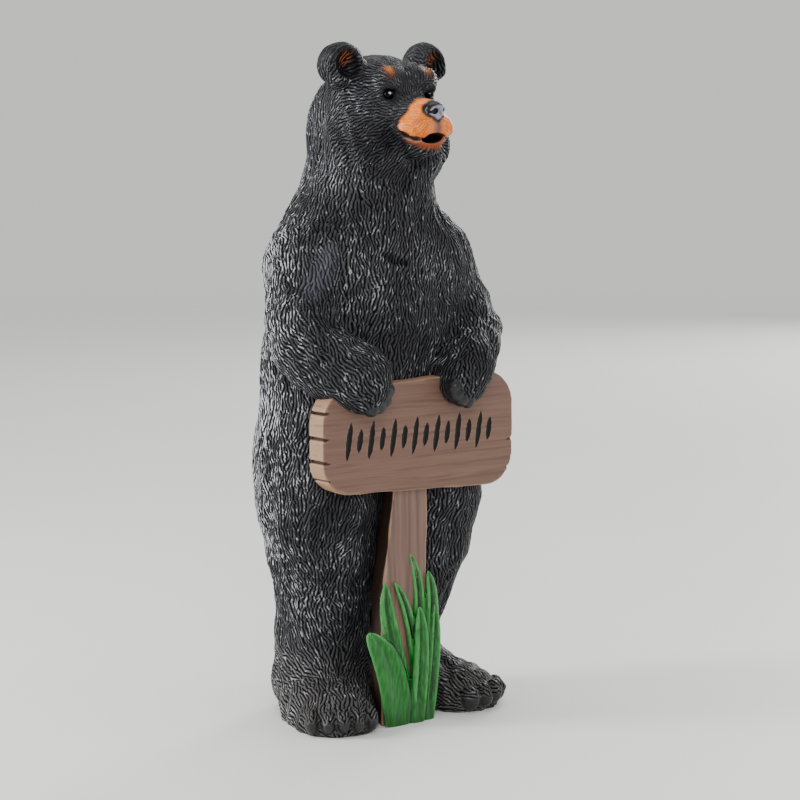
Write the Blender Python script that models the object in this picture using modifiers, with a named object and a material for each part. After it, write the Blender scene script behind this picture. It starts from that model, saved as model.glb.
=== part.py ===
"""Bear garden statue: a standing black bear, cast in one with the sign board it leans on.

The bear faces -Y and stands on z = 0. All sizes are in metres. The bear itself is carved
in units, DIVISIONS of them to its height, so that every form keeps its share of the figure.
The board, its post and the grass have real sizes of their own.
"""

import math

import bmesh
import bpy
import numpy as np
from mathutils import Euler, Matrix, Vector, noise

# The bear
STATUE_HEIGHT = 0.605
DIVISIONS = 605
UNIT = STATUE_HEIGHT / DIVISIONS
FOOT_SPLAY = math.radians(25.5)
HEAD_TURN = math.radians(2.5)
HEAD_TILT = math.radians(1.2)
PAW_SWAY = 12.5 * UNIT
FOOT_SWAY = 2 * UNIT
NECK = (0, 0, 490)
LOCK_PITCH = 15 * UNIT
LOCK_STRETCH = 2.6
LOCK_DEPTH = 4.0 * UNIT

# The sign board, a little higher at the bear's left end
BOARD_WIDTH = 0.214
BOARD_RIGHT_HEIGHT = 0.093
BOARD_LEFT_HEIGHT = 0.104
BOARD_THICKNESS = 0.021
BOARD_CORNER = 0.030
BOARD_EDGE = 0.002
BOARD_FRONT_Y = -0.080
BOARD_MIDDLE_Z = 0.2595
CRACK_DEPTH = 0.007
CRACK_OPENING = 0.003
CRACKS = {-1: (0.55, 0.08, -0.38, -0.70), 1: (-0.22, -0.72)}

# The row of strokes on the board
STROKE_ROW_WIDTH = 0.158
STROKE_HEIGHT = 0.034
STROKE_WIDTH = 0.005
STROKE_DEPTH = 0.0014
STROKE_COUNT = 14
STROKE_LEAN = math.radians(9)
SHORT_STROKE = 0.62

# The post, which widens and leans to the bear's right on its way down
POST_TOP_WIDTH = 0.038
POST_FOOT_WIDTH = 0.050
POST_BACK_SHARE = 0.62
POST_DEPTH = 0.029
POST_SETBACK = 0.007
POST_TOP_X = -0.005
POST_FOOT_X = -0.0135
POST_SPREAD_END = 0.62
POST_EDGE = 0.0015
POST_IN_BOARD = 0.030

# The grass in front of the post. Its blades are drawn in GRASS_DIVISIONS to its height.
GRASS_HEIGHT = 0.154
GRASS_DIVISIONS = 154
GRASS_MIDDLE_X = -0.007
GRASS_GAUGE = 0.009
GRASS_LAYER = 0.0022
GROUND_CUT = 0.020

# Meshing
CLAY_VOXEL = 4.0 * UNIT
CLAY_TRIANGLES = 6900


def units(*values):
    """A place or a size given in the bear's units, in metres."""
    return np.array(values, float) * UNIT


# Forms of the bear. Each is a ball, or a limb that runs through several points. The bear is
# the same on both sides, so a form at +x stands for its twin at -x too.


def ball(name, at, radii, turn=(0, 0, 0), blend=14, cut=False):
    spin = np.array(Euler([math.radians(a) for a in turn]).to_matrix())
    return {
        "name": name,
        "middle": units(*at),
        "radii": units(*radii),
        "spin": spin,
        "blend": blend * UNIT,
        "cut": cut,
    }


def limb(name, line, girths, stretch=(1, 1, 1), blend=14, cut=False):
    """A tapering limb. stretch makes its section oval: 1.2 in y is a limb 20% deeper than wide."""
    return {
        "name": name,
        "line": np.array(line, float) * UNIT,
        "girths": units(*girths),
        "stretch": np.array(stretch, float),
        "blend": blend * UNIT,
        "cut": cut,
    }


ANKLE = (40.0, 13.0)


def foot_point(along, across, up):
    """A place in the foot's own directions: along it from the ankle, across it outwards, and up."""
    s, c = math.sin(FOOT_SPLAY), math.cos(FOOT_SPLAY)
    return (ANKLE[0] + along * s + across * c, ANKLE[1] - along * c + across * s, up)


def torso_forms():
    return [
        ball("rump", (0, 20, 228), (98, 76, 88)),
        ball("belly", (0, 8, 292), (92, 74, 94), blend=30),
        ball("chest", (0, -2, 374), (84, 70, 86), blend=30),
        ball("shoulder", (58, -6, 408), (44, 50, 48), blend=30),
        ball("upper_back", (0, 16, 428), (60, 50, 64), blend=30),
        ball("loin", (0, 22, 322), (82, 60, 70), blend=30),
        limb("neck", [(0, 4, 440), (0, -4, 480), (0, -6, 508)], (62, 57, 48), blend=26),
        ball("tail", (0, 92, 222), (10, 11, 15), blend=12),
    ]


def head_forms():
    return [
        ball("cranium", (0, -18, 548), (51, 49, 46), blend=20),
        ball("nape", (0, 12, 526), (46, 42, 54), blend=14),
        ball("cheek", (33, -32, 520), (28, 31, 31), blend=12),
        ball("jowl", (22, -38, 506), (28, 32, 23), blend=12),
        limb(
            "ruff",
            [(57, -21, 546), (61, -33, 530), (61, -41, 515), (55, -45, 500)],
            (4, 4, 4, 4),
            blend=8,
            cut=True,
        ),
        ball("brow", (20, -50, 572), (18, 15, 11), blend=14),
        limb("muzzle", [(0, -52, 534), (0, -78, 531)], (27, 21), stretch=(1.08, 1, 0.9), blend=10),
        ball("muzzle_side", (12, -82, 528), (16, 16, 13), blend=7),
        ball("bridge", (0, -74, 546), (12, 26, 9), blend=9),
        ball("chin", (0, -74, 511), (17, 19, 8), blend=6),
        ball("nose", (0, -96, 544), (10, 8, 8), blend=3),
        ball("mouth", (0, -91, 520.5), (12, 15, 4.6), blend=3, cut=True),
        limb("lip_line", [(8, -92, 519), (18, -84, 519), (26, -71, 525)], (2.4, 2.0, 1.2), blend=3, cut=True),
        ball("eye_socket", (23, -66, 559), (6.5, 7, 5), blend=5, cut=True),
        ball("eye", (23, -61.2, 559), (5, 5, 5), blend=1),
        ball("ear", (48, -27, 585), (22, 17, 20), turn=(0, 0, 6), blend=7),
        ball("ear_hollow", (50.5, -41, 585), (11.5, 10, 12.5), turn=(0, 0, 3), blend=4, cut=True),
    ]


def finger_point(angle):
    """A place on the rim of the paw's end, from its inner side at 0 degrees down to 90."""
    a = math.radians(angle)
    return (54 - 16.5 * math.cos(a), -94, 305 - 16.5 * math.sin(a))


def arm_forms():
    arm = limb(
        "arm",
        [(66, -6, 405), (76, -14, 385), (87, -24, 362), (91, -36, 345), (85, -48, 333), (73, -60, 322)],
        (40, 34.5, 32, 29, 28, 27),
        blend=10,
    )
    paw = limb(
        "paw",
        [(70, -64, 321), (62, -76, 316), (56, -84, 309), (54, -86, 304)],
        (27, 26, 23.5, 20),
        blend=8,
    )
    fingers = [ball(f"finger_{n}", finger_point(8 + 27 * n), (7, 8, 7), blend=3) for n in range(4)]
    return [arm, paw, *fingers]


def leg_forms():
    leg = limb(
        "leg",
        [(58, 0, 232), (60, -6, 196), (54, -4, 152), (45, 4, 108), (40, 13, 70), (40, 13, 36)],
        (49, 51, 46, 41, 40, 41),
        stretch=(1, 1.14, 1),
        blend=12,
    )
    foot = limb(
        "foot",
        [foot_point(0, 0, 22), foot_point(36, 1, 11), foot_point(70, 0, 7)],
        (42, 41, 36),
        stretch=(1, 1, 0.88),
        blend=14,
    )
    toes = [
        ball(
            f"toe_{n}",
            foot_point(105 - 2.6 * (n - 2) ** 2, 13.2 * (n - 2), 15 - 0.6 * (n - 2) ** 2),
            (6.6, 9, 11),
            turn=(0, 0, math.degrees(FOOT_SPLAY)),
            blend=2.5,
        )
        for n in range(5)
    ]
    return [leg, foot, *toes]


# The clay: all forms melted together. A depth is how far a point lies outside the surface.


def soft_join(a, b, blend):
    h = np.maximum(blend - np.abs(a - b), 0) / blend
    return np.minimum(a, b) - h * h * blend / 4


def soft_cut(a, b, blend):
    return -soft_join(-a, b, blend)


def ball_distance(points, form):
    local = (points - form["middle"]) @ form["spin"]
    k0 = np.linalg.norm(local / form["radii"], axis=1)
    k1 = np.linalg.norm(local / form["radii"] ** 2, axis=1)
    return k0 * (k0 - 1) / np.maximum(k1, 1e-6)


def limb_distance(points, form):
    stretch = form["stretch"]
    squeezed = points / stretch
    line = form["line"] / stretch
    best = None
    for a, b, ra, rb in zip(line, line[1:], form["girths"], form["girths"][1:]):
        along = b - a
        t = np.clip((squeezed - a) @ along / (along @ along), 0, 1)
        d = np.linalg.norm(squeezed - a - t[:, None] * along, axis=1) - (ra + t * (rb - ra))
        best = d if best is None else soft_join(best, d, 6 * UNIT)
    return best


def melt(depth, points, forms):
    folded = np.abs(points * (1, 0, 0)) + points * (0, 1, 1)
    for form in forms:
        d = limb_distance(folded, form) if "line" in form else ball_distance(folded, form)
        join = soft_cut if form["cut"] else soft_join
        depth = join(depth, d, form["blend"])
    return depth


def head_pose():
    """The head is turned to the bear's left and tilted to its right, about the neck."""
    turn = Matrix.Rotation(HEAD_TURN, 4, "Z") @ Matrix.Rotation(-HEAD_TILT, 4, "Y")
    neck = Matrix.Translation(Vector(units(*NECK)))
    return neck @ turn @ neck.inverted()


def paw_sway(heights):
    """How far the forearms are moved to the bear's right at each height."""
    return PAW_SWAY * np.clip((345 - heights / UNIT) / 45, 0, 1)


def foot_sway(heights):
    """How far the feet are moved to the bear's right at each height."""
    return FOOT_SWAY * np.clip((110 - heights / UNIT) / 80, 0, 1)


def clay_depth(points):
    depth = np.full(len(points), STATUE_HEIGHT)
    depth = melt(depth, points, torso_forms())
    to_left = np.array((1, 0, 0))
    depth = melt(depth, points + paw_sway(points[:, 2:]) * to_left, arm_forms())
    depth = melt(depth, points + foot_sway(points[:, 2:]) * to_left, leg_forms())
    unposed = np.array(head_pose().inverted())
    in_head = points @ unposed[:3, :3].T + unposed[:3, 3]
    return melt(depth, in_head, head_forms())


def block_out(bm, forms, pose, sway=None):
    """Adds every form as plain balls, on both sides: the rough clay before it is melted."""
    for form in forms:
        if form["cut"]:
            continue
        if "line" in form:
            shapes = []
            line, girths = form["line"], form["girths"]
            for a, b, ra, rb in zip(line, line[1:], girths, girths[1:]):
                steps = max(2, int(np.linalg.norm(b - a) / (8 * UNIT)))
                for t in np.linspace(0, 1, steps):
                    size = Matrix.Diagonal(Vector(form["stretch"] * (ra + (rb - ra) * t)))
                    shapes.append((a + (b - a) * t, size.to_4x4()))
        else:
            turned = Matrix(form["spin"].tolist()) @ Matrix.Diagonal(Vector(form["radii"]))
            shapes = [(form["middle"], turned.to_4x4())]
        for place, size in shapes:
            for side in (1, -1):
                mirror = Matrix.Diagonal(Vector((side, 1, 1))).to_4x4()
                matrix = pose @ mirror @ Matrix.Translation(Vector(place)) @ size
                made = bmesh.ops.create_icosphere(bm, subdivisions=2, radius=1, matrix=matrix)
                if side < 0:
                    faces = {f for v in made["verts"] for f in v.link_faces}
                    bmesh.ops.reverse_faces(bm, faces=list(faces))
                if sway:
                    for v in made["verts"]:
                        v.co.x -= sway(v.co.z)


def add_object(name, mesh, collection):
    obj = bpy.data.objects.new(name, mesh)
    collection.objects.link(obj)
    return obj


def apply_modifiers(obj):
    graph = bpy.context.evaluated_depsgraph_get()
    mesh = bpy.data.meshes.new_from_object(obj.evaluated_get(graph), depsgraph=graph)
    obj.modifiers.clear()
    obj.data = mesh


def move_points(obj, push):
    """Moves every point along its normal by push(points), in metres."""
    mesh = obj.data
    points = np.empty(len(mesh.vertices) * 3)
    normals = np.empty(len(mesh.vertices) * 3, np.float32)
    mesh.vertices.foreach_get("co", points)
    mesh.vertex_normals.foreach_get("vector", normals)
    points = points.reshape(-1, 3)
    points = points + push(points)[:, None] * normals.reshape(-1, 3)
    mesh.vertices.foreach_set("co", points.ravel())
    mesh.update()


def make_clay(collection):
    bm = bmesh.new()
    block_out(bm, torso_forms(), Matrix.Identity(4))
    block_out(bm, arm_forms(), Matrix.Identity(4), paw_sway)
    block_out(bm, leg_forms(), Matrix.Identity(4), foot_sway)
    block_out(bm, head_forms(), head_pose())
    mesh = bpy.data.meshes.new("clay")
    bm.to_mesh(mesh)
    bm.free()
    bear = add_object("bear_statue", mesh, collection)
    for melting in (True, False):
        remesh = bear.modifiers.new("clay", "REMESH")
        remesh.mode = "VOXEL"
        remesh.voxel_size = CLAY_VOXEL
        apply_modifiers(bear)
        for _ in range(5):
            smooth = bear.modifiers.new("smooth", "SMOOTH")
            smooth.factor = 0.5
            smooth.iterations = 4 if melting else 1
            apply_modifiers(bear)
            move_points(bear, lambda points: -clay_depth(points))
    return bear


def lock_ridges(points):
    """Broad locks of fur that run down the coat: ridged noise, stretched along the fall."""
    scale = np.array((1, 1, 1 / LOCK_STRETCH)) / LOCK_PITCH
    return np.array([1 - 2 * abs(noise.noise(Vector(p))) for p in points * scale])


def fur_share(points):
    """How long the coat is: short on face, ears, toes and fingers, and flat behind the board."""
    height = points[:, 2] / UNIT
    front = -points[:, 1] / UNIT
    board_reach = (np.abs(points[:, 2] - BOARD_MIDDLE_Z) - BOARD_LEFT_HEIGHT / 2) / UNIT
    bare = [
        np.clip((height - 500) / 15, 0, 1) * np.clip((front - 45) / 20, 0, 1),
        np.clip((height - 572) / 15, 0, 1),
        np.clip((40 - height) / 15, 0, 1),
        np.clip((front - 35) / 12, 0, 1) * np.clip((18 - board_reach) / 12, 0, 1),
    ]
    return np.clip(1 - sum(bare), 0, 1)


def carve_locks(bear):
    move_points(bear, lambda points: LOCK_DEPTH * fur_share(points) * (lock_ridges(points) - 0.6))


def join(bear, casting):
    casting.modifiers.new("flat_faces", "TRIANGULATE")
    union = bear.modifiers.new(casting.name, "BOOLEAN")
    union.operation = "UNION"
    union.solver = "EXACT"
    union.object = casting


def board_outline():
    """A board with round corners, as a loop of (x, z) that starts at the lower right."""
    half = BOARD_WIDTH / 2
    outline = []
    for side, up, start in ((1, -1, -90), (1, 1, 0), (-1, 1, 90), (-1, -1, 180)):
        height = BOARD_LEFT_HEIGHT if side > 0 else BOARD_RIGHT_HEIGHT
        corner = Vector((side * (half - BOARD_CORNER), up * (height / 2 - BOARD_CORNER)))
        for step in range(6):
            angle = math.radians(start + 18 * step)
            outline.append(corner + BOARD_CORNER * Vector((math.cos(angle), math.sin(angle))))
    return outline


def make_board(collection):
    curve = bpy.data.curves.new("board", "CURVE")
    curve.dimensions = "2D"
    curve.fill_mode = "BOTH"
    curve.extrude = BOARD_THICKNESS / 2
    outline = board_outline()
    spline = curve.splines.new("POLY")
    spline.points.add(len(outline) - 1)
    for point, place in zip(spline.points, outline):
        point.co = (*place, 0, 1)
    spline.use_cyclic_u = True
    flat = add_object("board_outline", curve, collection)
    graph = bpy.context.evaluated_depsgraph_get()
    mesh = bpy.data.meshes.new_from_object(flat.evaluated_get(graph), depsgraph=graph)
    bpy.data.objects.remove(flat)
    bm = bmesh.new()
    bm.from_mesh(mesh)
    bmesh.ops.remove_doubles(bm, verts=bm.verts, dist=0.00001)
    bmesh.ops.dissolve_limit(bm, angle_limit=math.radians(1), verts=bm.verts, edges=bm.edges)
    bmesh.ops.transform(bm, matrix=Matrix.Rotation(math.radians(90), 4, "X"), verts=bm.verts)
    bmesh.ops.recalc_face_normals(bm, faces=bm.faces)
    bm.to_mesh(mesh)
    bm.free()
    board = add_object("board", mesh, collection)
    board.location = (0, BOARD_FRONT_Y + BOARD_THICKNESS / 2, BOARD_MIDDLE_Z)
    edge = board.modifiers.new("edge", "BEVEL")
    edge.width = BOARD_EDGE
    edge.segments = 1
    edge.limit_method = "ANGLE"
    edge.angle_limit = math.radians(40)
    return board


def crack_cutter(bm, side, up):
    """A wedge whose tip points into the board's end, at a share `up` of the half height."""
    height = BOARD_LEFT_HEIGHT if side > 0 else BOARD_RIGHT_HEIGHT
    lie = Matrix.Rotation(math.radians(90), 4, "X")
    size = Matrix.Diagonal((CRACK_DEPTH, CRACK_OPENING, BOARD_THICKNESS * 1.5, 1))
    spin = Matrix.Rotation(math.radians(180 if side > 0 else 0), 4, "Y")
    place = Matrix.Translation((side * (BOARD_WIDTH / 2), 0, up * height / 2))
    bmesh.ops.create_cone(
        bm, cap_ends=True, segments=3, radius1=1, radius2=1, depth=1,
        matrix=place @ spin @ lie @ size @ Matrix.Rotation(math.radians(-90), 4, "Z"),
    )


def stroke_cutter(bm, number):
    """One lens-shaped gouge. Long and short ones take turns, and all of them lean one way."""
    step = STROKE_ROW_WIDTH / (STROKE_COUNT - 1)
    x = -STROKE_ROW_WIDTH / 2 + number * step
    long = STROKE_HEIGHT / 2 * (1 if number % 2 == 0 else SHORT_STROKE)
    size = Matrix.Diagonal((STROKE_WIDTH / 2, STROKE_DEPTH, long, 1))
    place = Matrix.Translation((x, -BOARD_THICKNESS / 2 - STROKE_DEPTH / 4, 0))
    bmesh.ops.create_uvsphere(
        bm, u_segments=6, v_segments=5, radius=1,
        matrix=place @ Matrix.Rotation(STROKE_LEAN, 4, "Y") @ size,
    )


def make_cutter(name, shape, board, cutters):
    bm = bmesh.new()
    shape(bm)
    mesh = bpy.data.meshes.new(name)
    bm.to_mesh(mesh)
    bm.free()
    cutter = add_object(name, mesh, cutters)
    cutter.location = board.location
    cutter.hide_render = True
    cutter.display_type = "WIRE"
    cut = board.modifiers.new(name, "BOOLEAN")
    cut.operation = "DIFFERENCE"
    cut.solver = "EXACT"
    cut.object = cutter


def carve_board(board, cutters):
    def cracks(bm):
        for side, ups in CRACKS.items():
            for up in ups:
                crack_cutter(bm, side, up)

    def strokes(bm):
        for number in range(STROKE_COUNT):
            stroke_cutter(bm, number)

    make_cutter("cracks", cracks, board, cutters)
    make_cutter("strokes", strokes, board, cutters)


def make_post(collection):
    """The post is a block that grows towards its foot, shaped in level rings."""
    bm = bmesh.new()
    top = BOARD_MIDDLE_Z - BOARD_RIGHT_HEIGHT / 2 + POST_IN_BOARD
    bmesh.ops.create_cube(bm, size=1)
    upright = [e for e in bm.edges if abs(e.verts[0].co.z - e.verts[1].co.z) > 0.5]
    bmesh.ops.subdivide_edges(bm, edges=upright, cuts=4, use_grid_fill=True)
    for v in bm.verts:
        down = 0.5 - v.co.z
        back = v.co.y + 0.5
        spread = min(1, down / POST_SPREAD_END)
        eased = spread * spread * (3 - 2 * spread)
        width = POST_TOP_WIDTH + (POST_FOOT_WIDTH - POST_TOP_WIDTH) * eased
        width *= 1 - (1 - POST_BACK_SHARE) * back
        v.co.x = v.co.x * width + POST_TOP_X + (POST_FOOT_X - POST_TOP_X) * eased
        v.co.y = BOARD_FRONT_Y + POST_SETBACK + back * POST_DEPTH
        v.co.z = top - down * (top + GROUND_CUT / 2)
    mesh = bpy.data.meshes.new("post")
    bm.to_mesh(mesh)
    bm.free()
    post = add_object("post", mesh, collection)
    edge = post.modifiers.new("edge", "BEVEL")
    edge.width = POST_EDGE
    edge.segments = 1
    edge.limit_method = "ANGLE"
    edge.angle_limit = math.radians(60)
    return post


# Blades of grass: the four points that each one's middle line is drawn by, as (x, z) from the
# middle of the tuft, then its width and its layer, 0 against the post and up towards the viewer.
BLADES = {
    "clump": ((-3, 0), (-3, 12), (-3, 24), (-3, 42), 57, 2.6),
    "curled": ((-20, 0), (-21, 40), (-28, 66), (-49, 89), 30, 2),
    "upright": ((-6, 0), (-7, 60), (-29, 84), (-29, 130), 18, 1),
    "slim": ((6, 0), (10, 60), (0, 106), (-19, 130), 10, 1),
    "tall": ((5, 0), (5, 80), (20, 116), (0, 154), 11, 0),
    "bowed": ((14, 0), (17, 60), (31, 106), (19, 136), 13, 1),
    "front": ((0, 0), (1, 25), (4, 48), (-5, 70), 17, 3),
    "stub": ((16, 0), (18, 25), (20, 45), (13, 68), 14, 2),
}


def bezier(line, t):
    """The place at share t of a curve that four points draw."""
    shares = ((1 - t) ** 3, 3 * t * (1 - t) ** 2, 3 * t * t * (1 - t), t ** 3)
    return np.array(shares) @ np.array(line)


def make_blade(name, line, width, layer, collection):
    """A leaf is a ball drawn out along its bent middle line, broad below and pointed above."""
    grass_unit = GRASS_HEIGHT / GRASS_DIVISIONS
    bm = bmesh.new()
    bmesh.ops.create_uvsphere(bm, u_segments=6, v_segments=9, radius=1)
    for v in bm.verts:
        t = (v.co.z + 1) / 2
        ring = math.sqrt(max(1 - v.co.z * v.co.z, 1e-9))
        share = (1 - t ** 5) ** 0.7 * min(1, 0.6 + 1.5 * t) if 0 < t < 1 else 0
        x, z = bezier(line, t) * grass_unit
        through = v.co.y / ring * share * GRASS_GAUGE / 2
        v.co.x = GRASS_MIDDLE_X + x + v.co.x / ring * share * width * grass_unit / 2
        v.co.y = BOARD_FRONT_Y + POST_SETBACK - layer * GRASS_LAYER + through
        v.co.z = z - (1 - t) * GROUND_CUT / 2
    mesh = bpy.data.meshes.new(name)
    bm.to_mesh(mesh)
    bm.free()
    return add_object(f"{name}_blade", mesh, collection)


def cut_flat(bear, cutters):
    """The casting stands on a flat underside."""
    bm = bmesh.new()
    size = Matrix.Diagonal((STATUE_HEIGHT, STATUE_HEIGHT, STATUE_HEIGHT / 4, 1))
    place = Matrix.Translation((0, 0, -STATUE_HEIGHT / 8))
    bmesh.ops.create_cube(bm, size=1, matrix=place @ size)
    mesh = bpy.data.meshes.new("ground")
    bm.to_mesh(mesh)
    bm.free()
    ground = add_object("ground", mesh, cutters)
    ground.hide_render = True
    ground.display_type = "WIRE"
    cut = bear.modifiers.new("ground", "BOOLEAN")
    cut.operation = "DIFFERENCE"
    cut.solver = "EXACT"
    cut.object = ground


def painted(name, colour, roughness):
    material = bpy.data.materials.new(name)
    material.use_nodes = True
    shader = material.node_tree.nodes["Principled BSDF"]
    shader.inputs["Base Color"].default_value = (*colour, 1)
    shader.inputs["Roughness"].default_value = roughness
    shader.inputs["Metallic"].default_value = 0.0
    return material


def clear_scene():
    for obj in list(bpy.data.objects):
        bpy.data.objects.remove(obj)


def main():
    clear_scene()
    statue = bpy.data.collections.new("bear_garden_statue")
    cutters = bpy.data.collections.new("cutters")
    castings = bpy.data.collections.new("castings")
    for collection in (statue, cutters, castings):
        bpy.context.scene.collection.children.link(collection)

    bear = make_clay(statue)
    carve_locks(bear)
    fewer = bear.modifiers.new("fewer", "DECIMATE")
    fewer.ratio = CLAY_TRIANGLES / (2 * len(bear.data.polygons))
    bear.modifiers.new("flat_faces", "TRIANGULATE")
    board = make_board(castings)
    carve_board(board, cutters)
    make_post(castings)
    for name, (*line, width, layer) in BLADES.items():
        make_blade(name, line, width, layer, castings)
    for casting in castings.objects:
        join(bear, casting)
    cut_flat(bear, cutters)
    bear.data.materials.clear()
    bear.data.materials.append(painted("painted_resin", (0.045, 0.045, 0.05), 0.45))
    for obj in castings.objects:
        obj.hide_render = True
        obj.display_type = "WIRE"


main()
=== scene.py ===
"""Looks of the bear garden statue: carved fur, painted sign board, post, grass and face."""

import math

import bmesh
import bpy
import numpy as np
from mathutils import Euler, Matrix, Vector, noise


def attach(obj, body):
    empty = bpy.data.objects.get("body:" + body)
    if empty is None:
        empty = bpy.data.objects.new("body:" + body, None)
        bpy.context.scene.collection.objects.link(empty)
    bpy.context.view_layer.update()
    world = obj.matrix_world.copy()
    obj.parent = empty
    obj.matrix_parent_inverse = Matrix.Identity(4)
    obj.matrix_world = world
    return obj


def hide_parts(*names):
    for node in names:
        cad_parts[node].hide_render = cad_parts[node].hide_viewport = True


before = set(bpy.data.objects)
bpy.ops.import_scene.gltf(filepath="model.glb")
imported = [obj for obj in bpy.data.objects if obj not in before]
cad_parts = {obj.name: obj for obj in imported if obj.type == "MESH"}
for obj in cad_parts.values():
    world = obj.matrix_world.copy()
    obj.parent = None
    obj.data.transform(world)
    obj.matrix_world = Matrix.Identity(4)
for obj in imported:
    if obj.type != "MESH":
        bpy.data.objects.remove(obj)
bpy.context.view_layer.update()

# Sizes, in metres, the same as the casting's. The bear itself is carved in units.
UNIT = 0.001
STATUE_HEIGHT = 0.605
FOOT_SPLAY = math.radians(25.5)
HEAD_TURN = math.radians(2.5)
HEAD_TILT = math.radians(1.2)
PAW_SWAY = 12.5 * UNIT
PAW_SWAY_HEIGHTS = (345, 45)
FOOT_SWAY = 2 * UNIT
FOOT_SWAY_HEIGHTS = (110, 80)
NECK = (0, 0, 490)
LIMB_BLEND = 6 * UNIT
LOCK_PITCH = 15 * UNIT
LOCK_STRETCH = 2.6
LOCK_DEPTH = 2.6 * UNIT

BOARD_WIDTH = 0.214
BOARD_RIGHT_HEIGHT = 0.093
BOARD_LEFT_HEIGHT = 0.104
BOARD_THICKNESS = 0.021
BOARD_CORNER = 0.030
BOARD_FRONT_Y = -0.080
BOARD_MIDDLE_Z = 0.2595
CRACK_OPENING = 0.003
CRACKS = {-1: (0.55, 0.08, -0.38, -0.70), 1: (-0.22, -0.72)}

STROKE_ROW_WIDTH = 0.158
STROKE_HEIGHT = 0.034
STROKE_WIDTH = 0.005
STROKE_DEPTH = 0.0014
STROKE_COUNT = 14
STROKE_LEAN = math.radians(9)
STROKE_BLUNTNESS = 3.5
SHORT_STROKE = 0.62
INK_SPREAD = 1.2

POST_TOP_WIDTH = 0.038
POST_FOOT_WIDTH = 0.050
POST_BACK_SHARE = 0.62
POST_DEPTH = 0.029
POST_SETBACK = 0.007
POST_TOP_X = -0.005
POST_FOOT_X = -0.0135
POST_SPREAD_END = 0.62
POST_IN_BOARD = 0.030

GRASS_HEIGHT = 0.154
GRASS_DIVISIONS = 154
GRASS_MIDDLE_X = -0.007
GRASS_GAUGE = 0.009
GRASS_LAYER = 0.0022
GROUND_CUT = 0.020

# Meshing: a rough skin first, then the fine one that is carved
ROUGH_VOXEL = 0.004
FINE_VOXEL = 0.00118
BOARD_VOXEL = 0.0013
POST_VOXEL = 0.0014
GRASS_VOXEL = 0.00095
NOSE_VOXEL = 0.0005
BEAR_CUTS = {
    "bear_feet": (0, 0.085),
    "bear_shins": (0.085, 0.175),
    "bear_thighs": (0.175, 0.262),
    "bear_belly": (0.262, 0.368),
    "bear_chest": (0.368, 0.478),
    "bear_head": (0.478, STATUE_HEIGHT + 0.02),
}
FUR_PITCH = 0.0033
FUR_DEPTH = 0.00085
CREASE_DEPTH = 0.0025
COMB_PATCH = 0.0034
COMB_JITTER = 0.25
PATCH_LENGTH = 1.15
PATCH_WIDTH = 0.8
PATCH_REACH = 2.2
SEED = 7


def units(*values):
    return np.array(values, float) * UNIT


def ease(value, start, end):
    """0 before start, 1 after end, smooth between."""
    t = np.clip((value - start) / (end - start), 0, 1)
    return t * t * (3 - 2 * t)


# Forms of the bear, as in the casting. A form at +x stands for its twin at -x too.


def ball(name, at, radii, turn=(0, 0, 0), blend=14, cut=False):
    spin = np.array(Euler([math.radians(a) for a in turn]).to_matrix())
    shape = {"middle": units(*at), "radii": units(*radii), "spin": spin}
    return {"name": name, "blend": blend * UNIT, "cut": cut, **shape}


def limb(name, line, girths, stretch=(1, 1, 1), blend=14, cut=False):
    line = np.array(line, float) * UNIT
    shape = {"line": line, "girths": units(*girths), "stretch": np.array(stretch, float)}
    return {"name": name, "blend": blend * UNIT, "cut": cut, **shape}


ANKLE = (40.0, 13.0)


def foot_point(along, across, up):
    s, c = math.sin(FOOT_SPLAY), math.cos(FOOT_SPLAY)
    return (ANKLE[0] + along * s + across * c, ANKLE[1] - along * c + across * s, up)


TORSO = [
    ball("rump", (0, 20, 228), (98, 76, 88)),
    ball("belly", (0, 8, 292), (92, 74, 94), blend=30),
    ball("chest", (0, -2, 374), (84, 70, 86), blend=30),
    ball("shoulder", (58, -6, 408), (44, 50, 48), blend=30),
    ball("upper_back", (0, 16, 428), (60, 50, 64), blend=30),
    ball("loin", (0, 22, 322), (82, 60, 70), blend=30),
    limb("neck", [(0, 4, 440), (0, -4, 480), (0, -6, 508)], (62, 57, 48), blend=26),
    ball("tail", (0, 92, 222), (10, 11, 15), blend=12),
]

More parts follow.
